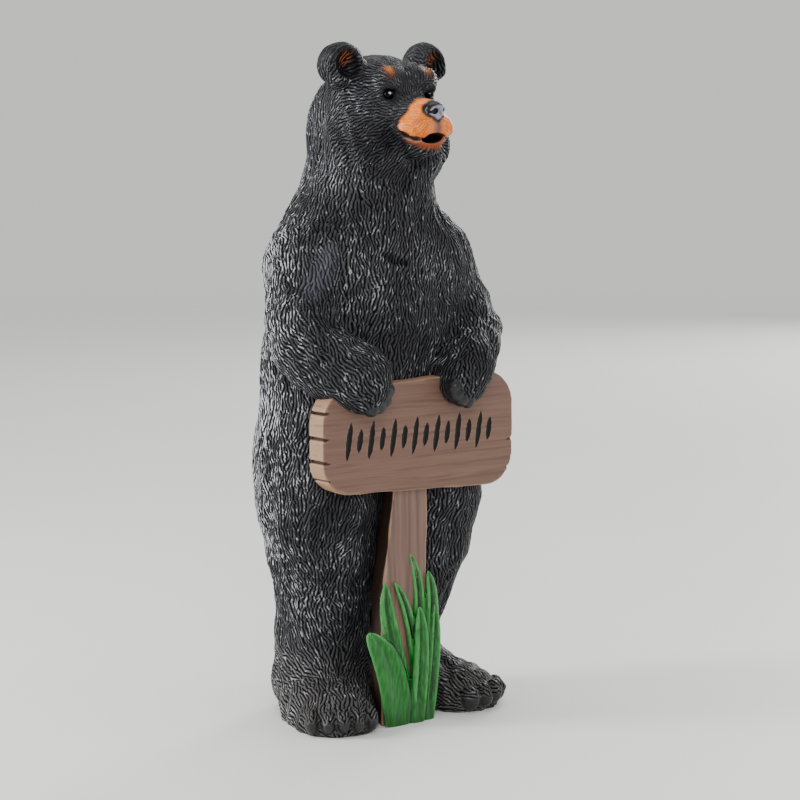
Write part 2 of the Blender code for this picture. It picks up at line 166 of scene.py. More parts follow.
HEAD = [
    ball("cranium", (0, -18, 548), (51, 49, 46), blend=20),
    ball("nape", (0, 12, 526), (46, 42, 54), blend=14),
    ball("cheek", (33, -32, 520), (28, 31, 31), blend=12),
    ball("jowl", (22, -38, 506), (28, 32, 23), blend=12),
    limb(
        "ruff",
        [(57, -21, 546), (61, -33, 530), (61, -41, 515), (55, -45, 500)],
        (4, 4, 4, 4),
        blend=8,
        cut=True,
    ),
    ball("brow", (20, -50, 572), (18, 15, 11), blend=14),
    limb("muzzle", [(0, -52, 534), (0, -78, 531)], (27, 21), stretch=(1.08, 1, 0.9), blend=10),
    ball("muzzle_side", (12, -82, 528), (16, 16, 13), blend=7),
    ball("bridge", (0, -74, 546), (12, 26, 9), blend=9),
    ball("chin", (0, -74, 511), (17, 19, 8), blend=6),
    ball("nose_bed", (0, -93, 544), (8, 7, 7), blend=3),
    ball("mouth", (0, -91, 520.5), (12, 15, 4.6), blend=2, cut=True),
    limb(
        "lip_line",
        [(9, -95, 519), (19, -91, 520), (25, -85, 523.5), (28, -79, 528)],
        (1.6, 1.3, 1.0, 0.6),
        blend=1.5,
        cut=True,
    ),
    limb("philtrum", [(0, -101, 538), (0, -101, 520)], (1.6, 2.0), blend=2, cut=True),
    ball("eye_socket", (23, -66, 559), (6.5, 7, 5), blend=5, cut=True),
    limb(
        "eyelid",
        [(18, -64.6, 560.6), (22.6, -66.4, 563.6), (28.6, -62.8, 561.2)],
        (1.6, 2.1, 1.6),
        blend=2,
    ),
    ball("ear", (48, -27, 585), (22, 17, 20), turn=(0, 0, 6), blend=7),
    ball("ear_hollow", (50.5, -41, 585), (11.5, 10, 12.5), turn=(0, 0, 3), blend=4, cut=True),
]


def finger_point(angle):
    """A place on the rim of the paw's end, from its inner side at 0 degrees down to 90."""
    a = math.radians(angle)
    return (54 - 16.5 * math.cos(a), -94, 305 - 16.5 * math.sin(a))


ARM = [
    limb(
        "arm",
        [(66, -6, 405), (76, -14, 385), (87, -24, 362), (91, -36, 345), (85, -48, 333), (73, -60, 322)],
        (40, 34.5, 32, 29, 28, 27),
        blend=10,
    ),
    limb(
        "paw",
        [(70, -64, 321), (62, -76, 316), (56, -84, 309), (54, -86, 304)],
        (27, 26, 23.5, 20),
        blend=8,
    ),
] + [ball(f"finger_{n}", finger_point(8 + 27 * n), (7, 8, 7), blend=1.2) for n in range(4)]

LEG = [
    limb(
        "leg",
        [(58, 0, 232), (60, -6, 196), (54, -4, 152), (45, 4, 108), (40, 13, 70), (40, 13, 36)],
        (49, 51, 46, 41, 40, 41),
        stretch=(1, 1.14, 1),
        blend=12,
    ),
    limb(
        "foot",
        [foot_point(0, 0, 22), foot_point(36, 1, 11), foot_point(70, 0, 7)],
        (42, 41, 36),
        stretch=(1, 1, 0.88),
        blend=14,
    ),
] + [
    ball(
        f"toe_{n}",
        foot_point(105 - 2.6 * (n - 2) ** 2, 13.2 * (n - 2), 15 - 0.6 * (n - 2) ** 2),
        (6.6, 9, 11),
        turn=(0, 0, math.degrees(FOOT_SPLAY)),
        blend=1.5,
    )
    for n in range(5)
]

# Touches on single sides: a smoother place inside the right elbow, whose crests carry a painted bluish
# sheen, and a crease in the chest, with painted shade along it
ELBOW_SMOOTH_SHEEN = limb("elbow_smooth_sheen", [(-76, -50, 423), (-85, -49, 405), (-93, -48, 388)], (2, 3, 2))
CHEST_CREASE = limb("chest_crease", [(-27, -61, 419), (-17, -64, 414), (-6, -66, 411)], (0.5, 1, 0.5))


def soft_join(a, b, blend):
    h = np.maximum(blend - np.abs(a - b), 0) / blend
    return np.minimum(a, b) - h * h * blend / 4


def soft_cut(a, b, blend):
    return -soft_join(-a, b, blend)


def ball_distance(points, form):
    local = (points - form["middle"]) @ form["spin"]
    k0 = np.linalg.norm(local / form["radii"], axis=1)
    k1 = np.linalg.norm(local / form["radii"] ** 2, axis=1)
    return k0 * (k0 - 1) / np.maximum(k1, 1e-6)


def limb_distance(points, form):
    stretch = form["stretch"]
    squeezed = points / stretch
    line = form["line"] / stretch
    best = None
    for a, b, ra, rb in zip(line, line[1:], form["girths"], form["girths"][1:]):
        along = b - a
        t = np.clip((squeezed - a) @ along / (along @ along), 0, 1)
        d = np.linalg.norm(squeezed - a - t[:, None] * along, axis=1) - (ra + t * (rb - ra))
        best = d if best is None else soft_join(best, d, LIMB_BLEND)
    return best


def distance(points, form):
    return limb_distance(points, form) if "line" in form else ball_distance(points, form)


def folded(points):
    """The same places, all on the bear's left side."""
    return np.abs(points * (1, 0, 0)) + points * (0, 1, 1)


def near_form(points, form):
    """Which points a form can reach at all."""
    if "line" in form:
        reach = form["girths"].max() * form["stretch"].max()
        low, high = form["line"].min(0) - reach, form["line"].max(0) + reach
    else:
        low, high = form["middle"] - form["radii"].max(), form["middle"] + form["radii"].max()
    margin = form["blend"] + 0.012
    return np.flatnonzero(((points > low - margin) & (points < high + margin)).all(1))


def melt(depth, points, forms):
    side = folded(points)
    for form in forms:
        some = near_form(side, form)
        join = soft_cut if form["cut"] else soft_join
        depth[some] = join(depth[some], distance(side[some], form), form["blend"])
    return depth


def nearest(points, forms):
    """How far each point lies from the nearest of a few forms."""
    gap = np.full(len(points), STATUE_HEIGHT)
    for form in forms:
        some = near_form(points, form)
        gap[some] = np.minimum(gap[some], distance(points[some], form))
    return gap


def head_pose():
    """The head is turned to the bear's left and tilted to its right, about the neck."""
    turn = Matrix.Rotation(HEAD_TURN, 4, "Z") @ Matrix.Rotation(-HEAD_TILT, 4, "Y")
    neck = Matrix.Translation(Vector(units(*NECK)))
    return neck @ turn @ neck.inverted()


UNPOSED = np.array(head_pose().inverted())


def in_head(points):
    return points @ UNPOSED[:3, :3].T + UNPOSED[:3, 3]


def paw_sway(heights):
    """How far the forearms are moved to the bear's right at each height."""
    start, span = PAW_SWAY_HEIGHTS
    return PAW_SWAY * np.clip((start - heights / UNIT) / span, 0, 1)


def foot_sway(heights):
    """How far the feet are moved to the bear's right at each height."""
    start, span = FOOT_SWAY_HEIGHTS
    return FOOT_SWAY * np.clip((start - heights / UNIT) / span, 0, 1)


def unswayed(points, sway):
    return points + sway(points[:, 2:]) * (1, 0, 0)


def clay_depth(points):
    depth = np.full(len(points), STATUE_HEIGHT)
    depth = melt(depth, points, TORSO)
    depth = melt(depth, unswayed(points, paw_sway), ARM)
    depth = melt(depth, unswayed(points, foot_sway), LEG)
    return melt(depth, in_head(points), HEAD)


def block_out(bm, forms, pose, sway=None):
    """Adds every form as plain balls, on both sides: the rough clay before it is melted."""
    for form in forms:
        if form["cut"]:
            continue
        if "line" in form:
            shapes = []
            line, girths = form["line"], form["girths"]
            for a, b, ra, rb in zip(line, line[1:], girths, girths[1:]):
                for t in np.linspace(0, 1, max(2, int(np.linalg.norm(b - a) / (8 * UNIT)))):
                    size = Matrix.Diagonal(Vector(form["stretch"] * (ra + (rb - ra) * t)))
                    shapes.append((a + (b - a) * t, size.to_4x4()))
        else:
            turned = Matrix(form["spin"].tolist()) @ Matrix.Diagonal(Vector(form["radii"]))
            shapes = [(form["middle"], turned.to_4x4())]
        for place, size in shapes:
            for side in (1, -1):
                mirror = Matrix.Diagonal(Vector((side, 1, 1))).to_4x4()
                matrix = pose @ mirror @ Matrix.Translation(Vector(place)) @ size
                made = bmesh.ops.create_icosphere(bm, subdivisions=2, radius=1, matrix=matrix)
                if side < 0:
                    faces = {f for v in made["verts"] for f in v.link_faces}
                    bmesh.ops.reverse_faces(bm, faces=list(faces))
                if sway:
                    for v in made["verts"]:
                        v.co.x -= sway(v.co.z)


class Skin:
    """A closed skin of even squares, kept as arrays while it is carved."""

    def __init__(self, rough, voxel):
        """Lays a new skin of voxel-sized squares round a rough mesh."""
        obj = bpy.data.objects.new("rough", rough)
        bpy.context.scene.collection.objects.link(obj)
        remesh = obj.modifiers.new("skin", "REMESH")
        remesh.mode = "VOXEL"
        remesh.voxel_size = voxel
        graph = bpy.context.evaluated_depsgraph_get()
        mesh = bpy.data.meshes.new_from_object(obj.evaluated_get(graph), depsgraph=graph)
        bpy.data.objects.remove(obj)
        self.points = np.empty(len(mesh.vertices) * 3)
        mesh.vertices.foreach_get("co", self.points)
        self.points = self.points.reshape(-1, 3)
        corners = np.empty(len(mesh.loops), np.int32)
        mesh.loops.foreach_get("vertex_index", corners)
        self.quads = corners.reshape(-1, 4)
        bpy.data.meshes.remove(mesh)
        self.marks = {}

    def gather(self, values):
        """Adds up, at each point, what its faces bring to their four corners."""
        total = np.empty_like(self.points)
        for axis in range(3):
            total[:, axis] = sum(
                np.bincount(self.quads[:, corner], values[corner][:, axis], len(self.points))
                for corner in range(4)
            )
        return total

    def normals(self):
        p = self.points[self.quads]
        across = np.cross(p[:, 2] - p[:, 0], p[:, 3] - p[:, 1])
        total = self.gather([across] * 4)
        return total / np.maximum(np.linalg.norm(total, axis=1), 1e-12)[:, None]

    def around(self, values):
        """The mean of each point's neighbours."""
        flat = values if values.ndim == 2 else np.repeat(values[:, None], 3, 1)
        v = flat[self.quads]
        total = self.gather([v[:, corner - 1] + v[:, (corner + 1) % 4] for corner in range(4)])
        count = np.bincount(self.quads.ravel(), minlength=len(self.points)) * 2
        mean = total / count[:, None]
        return mean if values.ndim == 2 else mean[:, 0]

    def smooth(self, rounds):
        """Moves every point half of the way to the mean of its neighbours."""
        for _ in range(rounds):
            self.points = self.points + (self.around(self.points) - self.points) * 0.5

    def push(self, amounts):
        """Moves every point along its normal."""
        self.points = self.points + self.normals() * amounts[:, None]

    def hollows(self, rounds):
        """How deep each point lies among its neighbours, from about -1 on a ridge to 1 in a gap."""
        wide = self.points
        for _ in range(rounds):
            wide = self.around(wide)
        depth = ((wide - self.points) * self.normals()).sum(1)
        return np.clip(depth / (3 * depth.std()), -1, 1)

    def mesh(self, name):
        mesh = bpy.data.meshes.new(name)
        fill_mesh(mesh, self.points, self.quads, self.marks)
        return mesh


def fill_mesh(mesh, points, quads, marks):
    mesh.vertices.add(len(points))
    mesh.vertices.foreach_set("co", points.ravel())
    mesh.loops.add(quads.size)
    mesh.loops.foreach_set("vertex_index", quads.ravel())
    mesh.polygons.add(len(quads))
    mesh.polygons.foreach_set("loop_start", np.arange(0, quads.size, 4))
    mesh.update(calc_edges=True)
    for mark, values in marks.items():
        kind = "FLOAT_VECTOR" if values.ndim == 2 else "FLOAT"
        layer = mesh.attributes.new(mark, kind, "POINT")
        layer.data.foreach_set("vector" if values.ndim == 2 else "value", values.astype(np.float32).ravel())
    mesh.polygons.foreach_set("use_smooth", np.ones(len(quads), bool))


def as_mesh(bm, name):
    mesh = bpy.data.meshes.new(name)
    bm.to_mesh(mesh)
    bm.free()
    return mesh


def turbulence(points, size, seed=0.0):
    """Soft noise from -1 to 1, with lumps of about the given size."""
    shift = Vector((seed * 3.1, seed * 7.7, seed * 5.3))
    return np.array([noise.noise(Vector(p) + shift) for p in points / size])


def add_piece(name, mesh, material):
    obj = bpy.data.objects.new(name, mesh)
    bpy.context.scene.collection.objects.link(obj)
    mesh.materials.clear()
    mesh.materials.append(material)
    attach(obj, "root")
    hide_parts("bear_statue")
    return obj


# The coat


def limb_way(points, forms, reach):
    """The way along the nearest limb at each point, and how much the limb is there."""
    way = np.zeros_like(points)
    weight = np.zeros(len(points))
    for form in forms:
        line, girths = form["line"] / form["stretch"], form["girths"]
        squeezed = points / form["stretch"]
        for a, b, ra, rb in zip(line, line[1:], girths, girths[1:]):
            along = b - a
            t = np.clip((squeezed - a) @ along / (along @ along), 0, 1)
            d = np.linalg.norm(squeezed - a - t[:, None] * along, axis=1) - (ra + t * (rb - ra))
            share = np.exp(-np.maximum(d, 0) / reach)
            way += share[:, None] * along / np.linalg.norm(along)
            weight = np.maximum(weight, share)
    return way / np.maximum(np.linalg.norm(way, axis=1), 1e-9)[:, None], weight


def fur_way(points, normals):
    """How the fur lies: down the body, along the arms, over the feet and back from the nose."""
    side = np.where(points[:, :1] < 0, -1.0, 1.0) * (1, 0, 0) + (0, 1, 1)
    twin = folded(unswayed(points, paw_sway))
    way = np.tile((0.0, 0.0, -1.0), (len(points), 1))
    arm_way, arm = limb_way(twin, ARM[:2], 0.004)
    arm = (arm * ease(twin[:, 0], 0.045, 0.065) * ease(twin[:, 2], 0.27, 0.29))[:, None]
    way = way * (1 - arm) + arm_way * side * arm
    toward = np.array(foot_point(80, 0, 0)) - foot_point(0, 0, 30)
    foot = (1 - ease(points[:, 2], 0.040, 0.085))[:, None]
    way = way * (1 - foot) + toward / np.linalg.norm(toward) * side * foot
    head = in_head(points)
    back = head - units(0, -112, 534)
    far = np.linalg.norm(back, axis=1)
    back = back / far[:, None] + (0, 0, -0.35)
    face = (ease(head[:, 2], 0.470, 0.510) * (1 - ease(far, 0.085, 0.135)))[:, None]
    way = way * (1 - face) + back * face
    sway = turbulence(points, 0.045, 1) * 0.50 + turbulence(points, 0.014, 2) * 0.45
    across = np.cross(normals, way)
    way = way + across * sway[:, None]
    way -= normals * (way * normals).sum(1)[:, None]
    return way / np.maximum(np.linalg.norm(way, axis=1), 1e-9)[:, None]


def comb_waves(points, normals, way, pitch, spacing):
    """Waves that run across the lie of the fur: many small combed patches, added up."""
    rng = np.random.default_rng(SEED)
    picks = rng.permutation(len(points))[: int(len(points) * (FINE_VOXEL / spacing) ** 2)]
    middle, out, along = points[picks], normals[picks], way[picks]
    across = np.cross(out, along) + along * rng.normal(0, COMB_JITTER, (len(picks), 1))
    across *= math.tau / pitch[picks, None] * rng.uniform(0.88, 1.15, (len(picks), 1))
    phase = rng.uniform(0, math.tau, len(picks))
    cell = PATCH_REACH * spacing
    low = points.min(0) - 2 * cell
    stride = np.array((1, 1000, 1000000))
    patch_cell = np.floor((middle - low) / cell).astype(np.int64) @ stride
    order = np.argsort(patch_cell, kind="stable")
    patch_cell, middle, out, along, across, phase = (
        a[order] for a in (patch_cell, middle, out, along, across, phase)
    )
    point_cell = np.floor((points - low) / cell).astype(np.int64) @ stride
    even = np.zeros(len(points))
    odd = np.zeros(len(points))
    for step in np.ndindex(3, 3, 3):
        wanted = point_cell + (np.array(step) - 1) @ stride
        first = np.searchsorted(patch_cell, wanted)
        last = np.searchsorted(patch_cell, wanted, "right")
        while True:
            some = np.flatnonzero(first < last)
            if not len(some):
                break
            k = first[some]
            gap = points[some] - middle[k]
            down = (gap * along[k]).sum(1) / (PATCH_LENGTH * spacing)
            wide = np.maximum((gap * gap).sum(1) / spacing ** 2 - (down * PATCH_LENGTH) ** 2, 0)
            wide = np.sqrt(wide) / PATCH_WIDTH
            facing = np.clip((normals[some] * out[k]).sum(1), 0, 1)
            weight = np.exp(-down * down - wide * wide) * facing
            angle = (gap * across[k]).sum(1) + phase[k]
            even[some] += weight * np.cos(angle)
            odd[some] += weight * np.sin(angle)
            first[some] += 1
    size = np.sqrt(even * even + odd * odd)
    sure = size + 0.15 * size.mean()
    return even / sure, odd / sure


def lock_ridges(points):
    """Broad locks of fur that run down the coat: ridged noise, stretched along the fall."""
    scale = np.array((1, 1, 1 / LOCK_STRETCH)) / LOCK_PITCH
    return np.array([1 - 2 * abs(noise.noise(Vector(p))) for p in points * scale])


def form_named(name, forms):
    return next(form for form in forms if form["name"] == name)


def coat_marks(points):
    """Where the face is painted, and where the coat is smooth."""
    head = in_head(points)
    twin = folded(head)
    x, y, z = twin.T
    in_face = ease(z, 0.49, 0.50)
    front = ease(0.0016 * turbulence(points, 0.006, 3) - y, 0.0775, 0.0820)
    line = form_named("lip_line", HEAD)["line"]
    above = ease(z - np.interp(-y, -line[::-1, 1], line[::-1, 2]), -0.001, 0.0005)
    mouth = nearest(twin, [form_named("mouth", HEAD), form_named("lip_line", HEAD)])
    nose = nearest(twin, NOSE[:3])
    hollow = nearest(twin, [form_named("ear_hollow", HEAD)])
    ear = nearest(twin, [form_named("ear", HEAD)])
    ear_fur = nearest(twin, [ball("ear_fur", (50, -41, 587), (9, 10, 10.5))])
    toes = nearest(folded(unswayed(points, foot_sway)), LEG[2:])
    fingers = nearest(folded(unswayed(points, paw_sway)), ARM[2:])
    brow = np.linalg.norm((twin - units(21.8, -60.2, 579)) * (1, 1, 0.75), axis=1)
    eye = np.linalg.norm((twin - units(23.2, -65, 559.6)) * (0.9, 1, 1.15), axis=1)
    forehead = np.linalg.norm(twin - units(8, -64, 562), axis=1)
    under_nose = np.exp(-((x / 0.0055) ** 2)) * ease(-y, 0.088, 0.094) * (1 - ease(z, 0.535, 0.541))
    toe_fronts = toes + 0.4 * np.maximum(points[:, 2] - 0.012, 0)
    marks = {
        "muzzle": front * above * in_face,
        "lip": ease(-y, 0.080, 0.090) * (1 - above) * (1 - ease(mouth, 0.0010, 0.0075)) * in_face,
        "lip_edge": ease(-y, 0.080, 0.086) * (1 - above) * (1 - ease(mouth, 0.0006, 0.0016)) * in_face,
        "mouth": (1 - ease(mouth, -0.0002, 0.0007)) * in_face,
        "nose_rim": 1 - ease(nose, 0.0012, 0.0034),
        "brow": np.exp(-((brow / 0.0042) ** 2)) * np.where(head[:, 0] > 0, 0.6, 1),
        "inner_ear": (1 - ease(hollow, 0.0002, 0.0014)) * (ear < 0.004),
        "ear_fur": (1 - ease(ear_fur, -0.0010, 0.0010)) * (ear < 0.004),
        "philtrum": under_nose * above * in_face,
        "eye_rim": np.exp(-((eye / 0.0074) ** 4)),
        "knuckle": 1 - ease(np.minimum(toe_fronts, fingers), 0.0002, 0.0014),
        "smooth_sheen": 1 - ease(nearest(points, [ELBOW_SMOOTH_SHEEN]), -0.002, 0.012),
        "crease": 1 - ease(nearest(points, [CHEST_CREASE]), 0.0, 0.004),
    }
    smooth = marks["knuckle"] + marks["mouth"] + marks["nose_rim"] + marks["philtrum"]
    smooth += 0.6 * marks["muzzle"]
    smooth += 0.8 * (marks["eye_rim"] + marks["lip"]) + 0.2 * marks["smooth_sheen"]
    smooth += 0.5 * ease(z, 0.580, 0.595) + 0.45 * np.exp(-((forehead / 0.030) ** 4))
    marks["bare"] = np.clip(smooth, 0, 1)
    return marks


def make_bear():
    bm = bmesh.new()
    block_out(bm, TORSO, Matrix.Identity(4))
    block_out(bm, ARM, Matrix.Identity(4), paw_sway)
    block_out(bm, LEG, Matrix.Identity(4), foot_sway)
    block_out(bm, HEAD, head_pose())
    clay = Skin(as_mesh(bm, "clay"), ROUGH_VOXEL)
    for _ in range(5):
        clay.smooth(3)
        clay.push(-clay_depth(clay.points))
    skin = Skin(clay.mesh("clay"), FINE_VOXEL)
    for _ in range(3):
        skin.smooth(2)
        skin.push(-clay_depth(skin.points))
    skin.smooth(1)

    marks = coat_marks(skin.points)
    furry = 1 - marks["bare"]
    skin.push(LOCK_DEPTH * (lock_ridges(skin.points) - 0.55) * furry * board_gap(skin.points))
    skin.push(-CREASE_DEPTH * marks["crease"])
    normals = skin.normals()
    in_face = ease(skin.points[:, 2], 0.500, 0.515) * ease(-skin.points[:, 1], 0.030, 0.050)
    pitch = FUR_PITCH * (1 - 0.18 * in_face)
    even, odd = comb_waves(skin.points, normals, fur_way(skin.points, normals), pitch, COMB_PATCH)
    sure = np.sqrt(even * even + odd * odd)
    ridge = np.cos(np.arctan2(odd, even) / 2)
    broken = ease(turbulence(skin.points, 0.0045, 9), -0.5, 0.1)
    uneven = 1 + 0.4 * turbulence(skin.points, 0.03, 4)
    depth = FUR_DEPTH * (1 - 0.35 * in_face) * (0.45 + 0.65 * broken) * uneven
    skin.push(depth * furry * sure * (ridge - 0.6))
    skin.marks = {**marks, "even": even, "odd": odd, "normal_there": skin.normals()}
    paint = coat_paint()
    for name, (low, high) in BEAR_CUTS.items():
        add_piece(name, slab(skin, name, low, high), paint)


def board_gap(points):
    """0 where the coat lies against the board's back, 1 away from it."""
    reach = np.abs(points[:, 2] - BOARD_MIDDLE_Z) - BOARD_LEFT_HEIGHT / 2
    return 1 - ease(-points[:, 1], 0.035, 0.047) * (1 - ease(reach, 0.006, 0.018))


def slab(skin, name, low, high):
    """The part of the skin between two heights, closed by flat faces where it is cut."""
    heights = skin.points[:, 2][skin.quads]
    faces = skin.quads[(heights.max(1) > low) & (heights.min(1) < high)]
    used, quads = np.unique(faces, return_inverse=True)
    mesh = bpy.data.meshes.new(name)
    marks = {mark: values[used] for mark, values in skin.marks.items()}
    fill_mesh(mesh, skin.points[used], quads.reshape(-1, 4).astype(np.int32), marks)
    bm = bmesh.new()
    bm.from_mesh(mesh)
    for height, way in ((low, -1), (high, 1)):
        bmesh.ops.bisect_plane(
            bm, geom=bm.verts[:] + bm.edges[:] + bm.faces[:], dist=1e-7,
            plane_co=(0, 0, height), plane_no=(0, 0, way), clear_outer=True,
        )
        rim = [e for e in bm.edges if e.is_boundary and all(abs(v.co.z - height) < 1e-6 for v in e.verts)]
        if rim:
            cap = bmesh.ops.triangle_fill(
                bm, use_beauty=True, use_dissolve=False, edges=rim, normal=(0, 0, way)
            )
            for face in cap["geom"]:
                if isinstance(face, bmesh.types.BMFace):
                    face.smooth = False
    bm.to_mesh(mesh)
    bm.free()
    keep_normals(mesh)
    return mesh


def keep_normals(mesh):
    """The whole skin's normals, so that no seam shows where it is cut."""
    there = np.empty(len(mesh.vertices) * 3, np.float32)
    mesh.attributes["normal_there"].data.foreach_get("vector", there)
    corners = np.empty(len(mesh.loops), np.int32)
    mesh.loops.foreach_get("vertex_index", corners)
    normals = there.reshape(-1, 3)[corners]
    normals /= np.maximum(np.linalg.norm(normals, axis=1), 1e-9)[:, None]
    for face in mesh.polygons:
        if not face.use_smooth:
            normals[face.loop_start : face.loop_start + face.loop_total] = face.normal
    mesh.normals_split_custom_set(normals)
    mesh.attributes.remove(mesh.attributes["normal_there"])


# The board


def board_outline():
    """A board with round corners, as a loop of (x, z) that starts at the lower right."""
    half = BOARD_WIDTH / 2
    outline = []
    for side, up, start in ((1, -1, -90), (1, 1, 0), (-1, 1, 90), (-1, -1, 180)):
        height = BOARD_LEFT_HEIGHT if side > 0 else BOARD_RIGHT_HEIGHT
        corner = Vector((side * (half - BOARD_CORNER), up * (height / 2 - BOARD_CORNER)))
        for step in range(10):
            angle = math.radians(start + 10 * step)
            outline.append(corner + BOARD_CORNER * Vector((math.cos(angle), math.sin(angle))))
    return outline


def board_solid():
    """The plain board, its front towards -Y, with its middle at the origin."""
    bm = bmesh.new()
    loops = [
        [bm.verts.new((x, side * BOARD_THICKNESS / 2, z)) for x, z in board_outline()] for side in (-1, 1)
    ]
    bm.faces.new(loops[0])
    bm.faces.new(loops[1][::-1])
    for a, b in zip(range(len(loops[0])), [*range(1, len(loops[0])), 0]):
        bm.faces.new((loops[0][b], loops[0][a], loops[1][a], loops[1][b]))
    bmesh.ops.triangulate(bm, faces=bm.faces)
    bmesh.ops.recalc_face_normals(bm, faces=bm.faces)
    return as_mesh(bm, "board_solid")


def crack_lines():
    """The height of each end crack above the board's middle, and the side that it is on."""
    for side, ups in CRACKS.items():
        height = BOARD_LEFT_HEIGHT if side > 0 else BOARD_RIGHT_HEIGHT
        for up in ups:
            yield side, up * height / 2


def stroke_depth(x, z):
    """How deep the gouged strokes are at a place on the board's front."""
    step = STROKE_ROW_WIDTH / (STROKE_COUNT - 1)
    leaned = x - z * math.tan(STROKE_LEAN)
    number = np.clip(np.round(leaned / step + (STROKE_COUNT - 1) / 2), 0, STROKE_COUNT - 1)
    off = leaned - (number - (STROKE_COUNT - 1) / 2) * step
    half = STROKE_HEIGHT / 2 * np.where(number % 2 == 0, 1.0, SHORT_STROKE)
    lens = 1 - np.abs(z / half) ** STROKE_BLUNTNESS
    return np.clip(1 - np.abs(off) / (STROKE_WIDTH / 2 * np.maximum(lens, 0.02)), 0, 1) * (lens > 0)


def wood_grain(points, coarse, fine, shift=0):
    """Noise drawn out along the wood, with finer noise on it."""
    return np.array([
        noise.noise(Vector(a)) + 0.6 * noise.noise(Vector(b))
        for a, b in zip(points * coarse, points * fine + (shift, 0, 0))
    ])


def make_board():
    skin = Skin(board_solid(), BOARD_VOXEL)
    skin.smooth(3)
    x, _, z = skin.points.T
    normals = skin.normals()
    facing = np.abs(normals[:, 1]) ** 2
    from_end = BOARD_WIDTH / 2 - np.abs(x)
    crack = np.zeros(len(x))
    for side, height in crack_lines():
        sway = 0.0016 * turbulence(skin.points * (1, 0, 0), 0.009, height * 900) + height
        length = 0.010 + 0.009 * abs(noise.noise(Vector((height * 500, side, 0))))
        inside = np.where(x * side > 0, ease(length - from_end, 0.0, length), 0)
        across = np.abs(z - sway) / (CRACK_OPENING * (0.25 + 0.45 * inside))
        crack = np.maximum(crack, np.clip(1 - across, 0, 1) * inside ** 0.6)
    grain = wood_grain(skin.points, (9, 60, 420), (30, 90, 900), shift=5)
    wear_and_rim_sheen = turbulence(skin.points, 0.022, 5)
    stroke = stroke_depth(x, z) * (normals[:, 1] < -0.6)
    sunk = 0.00028 * grain * facing + 0.0007 * wear_and_rim_sheen
    sunk -= STROKE_DEPTH * np.sqrt(stroke) + crack * (0.0016 + 0.0030 * (1 - facing))
    skin.push(sunk)
    end = 1 - ease(facing, 0.25, 0.75)
    skin.marks = {"grain": grain, "crack": crack, "end": end, "hollow": skin.hollows(4)}
    skin.points += (0, BOARD_FRONT_Y + BOARD_THICKNESS / 2, BOARD_MIDDLE_Z)
    add_piece("sign_board", skin.mesh("sign_board"), board_paint())


# The post


def make_post():
    """The post is a block that grows towards its foot, shaped in level rings."""
    bm = bmesh.new()
    top = BOARD_MIDDLE_Z - BOARD_RIGHT_HEIGHT / 2 + POST_IN_BOARD
    bmesh.ops.create_cube(bm, size=1)
    upright = [e for e in bm.edges if abs(e.verts[0].co.z - e.verts[1].co.z) > 0.5]
    bmesh.ops.subdivide_edges(bm, edges=upright, cuts=12, use_grid_fill=True)
    for v in bm.verts:
        down = 0.5 - v.co.z
        back = v.co.y + 0.5
        eased = ease(down, 0, POST_SPREAD_END)
        width = POST_TOP_WIDTH + (POST_FOOT_WIDTH - POST_TOP_WIDTH) * eased
        width *= 1 - (1 - POST_BACK_SHARE) * back
        v.co.x = v.co.x * width + POST_TOP_X + (POST_FOOT_X - POST_TOP_X) * eased
        v.co.y = BOARD_FRONT_Y + POST_SETBACK + back * POST_DEPTH
        v.co.z = top - down * top
    skin = Skin(as_mesh(bm, "post"), POST_VOXEL)
    skin.smooth(3)
    grain = wood_grain(skin.points, (190, 190, 7), (480, 480, 20))
    normals = skin.normals()
    wear_and_rim_sheen = turbulence(skin.points, 0.03, 6)
    skin.push((0.00040 * grain + 0.0008 * wear_and_rim_sheen) * (np.abs(normals[:, 2]) < 0.6))
    skin.points[:, 2] = np.maximum(skin.points[:, 2], 0)
    flank = ease(np.abs(normals[:, 0]), 0.45, 0.75)
    skin.marks = {"grain": grain, "flank": flank, "hollow": skin.hollows(4)}
    add_piece("sign_post", skin.mesh("sign_post"), post_paint())


# The grass: the four points that each blade's middle line is drawn by, as (x, z) from the middle
# of the tuft, then its width and its layer, 0 against the post and up towards the viewer.
BLADES = {
    "clump": ((-3, 0), (-3, 12), (-3, 24), (-3, 40), 54, 1.4),
    "curled": ((-17, 0), (-17, 40), (-26, 68), (-49, 89), 33, 2.4),
    "upright": ((-6, 0), (-7, 60), (-29, 84), (-29, 130), 20, 1),
    "slim": ((6, 0), (10, 60), (0, 106), (-19, 130), 12, 1),
    "tall": ((5, 0), (5, 80), (20, 116), (0, 154), 13, 0),
    "bowed": ((14, 0), (17, 60), (31, 106), (19, 136), 15, 1),
    "front": ((3, 0), (5, 34), (12, 66), (6, 106), 18, 3),
    "stub": ((17, 0), (20, 32), (27, 64), (26, 104), 14, 2),
}


def bezier(line, t):
    """The place at share t of a curve that four points draw."""
    shares = ((1 - t) ** 3, 3 * t * (1 - t) ** 2, 3 * t * t * (1 - t), t ** 3)
    return np.array(shares) @ np.array(line)


def add_blade(bm, line, width, layer):
    """A leaf drawn out along its bent middle line, broad below and pointed above, with a furrow."""
    grass_unit = GRASS_HEIGHT / GRASS_DIVISIONS
    made = bmesh.ops.create_uvsphere(bm, u_segments=28, v_segments=48, radius=1)
    for v in made["verts"]:
        t = (v.co.z + 1) / 2
        ring = math.sqrt(max(1 - v.co.z * v.co.z, 1e-9))
        share = (1 - t ** 6) ** 0.65 * min(1, 0.8 + 0.8 * t) if 0 < t < 1 else 0
        furrow = min(1.05, 21 / width) * min(1, 3 * t)
        side = v.co.x / ring
        x, z = bezier(line, t) * grass_unit
        through = v.co.y / ring * share * GRASS_GAUGE / 2
        if through < 0:
            through *= 1 - furrow * math.exp(-((side / 0.45) ** 2))
        v.co.x = GRASS_MIDDLE_X + x + side * share * width * grass_unit / 2
        v.co.y = BOARD_FRONT_Y + POST_SETBACK - layer * GRASS_LAYER + through
        v.co.z = z - (1 - t) * GROUND_CUT / 2


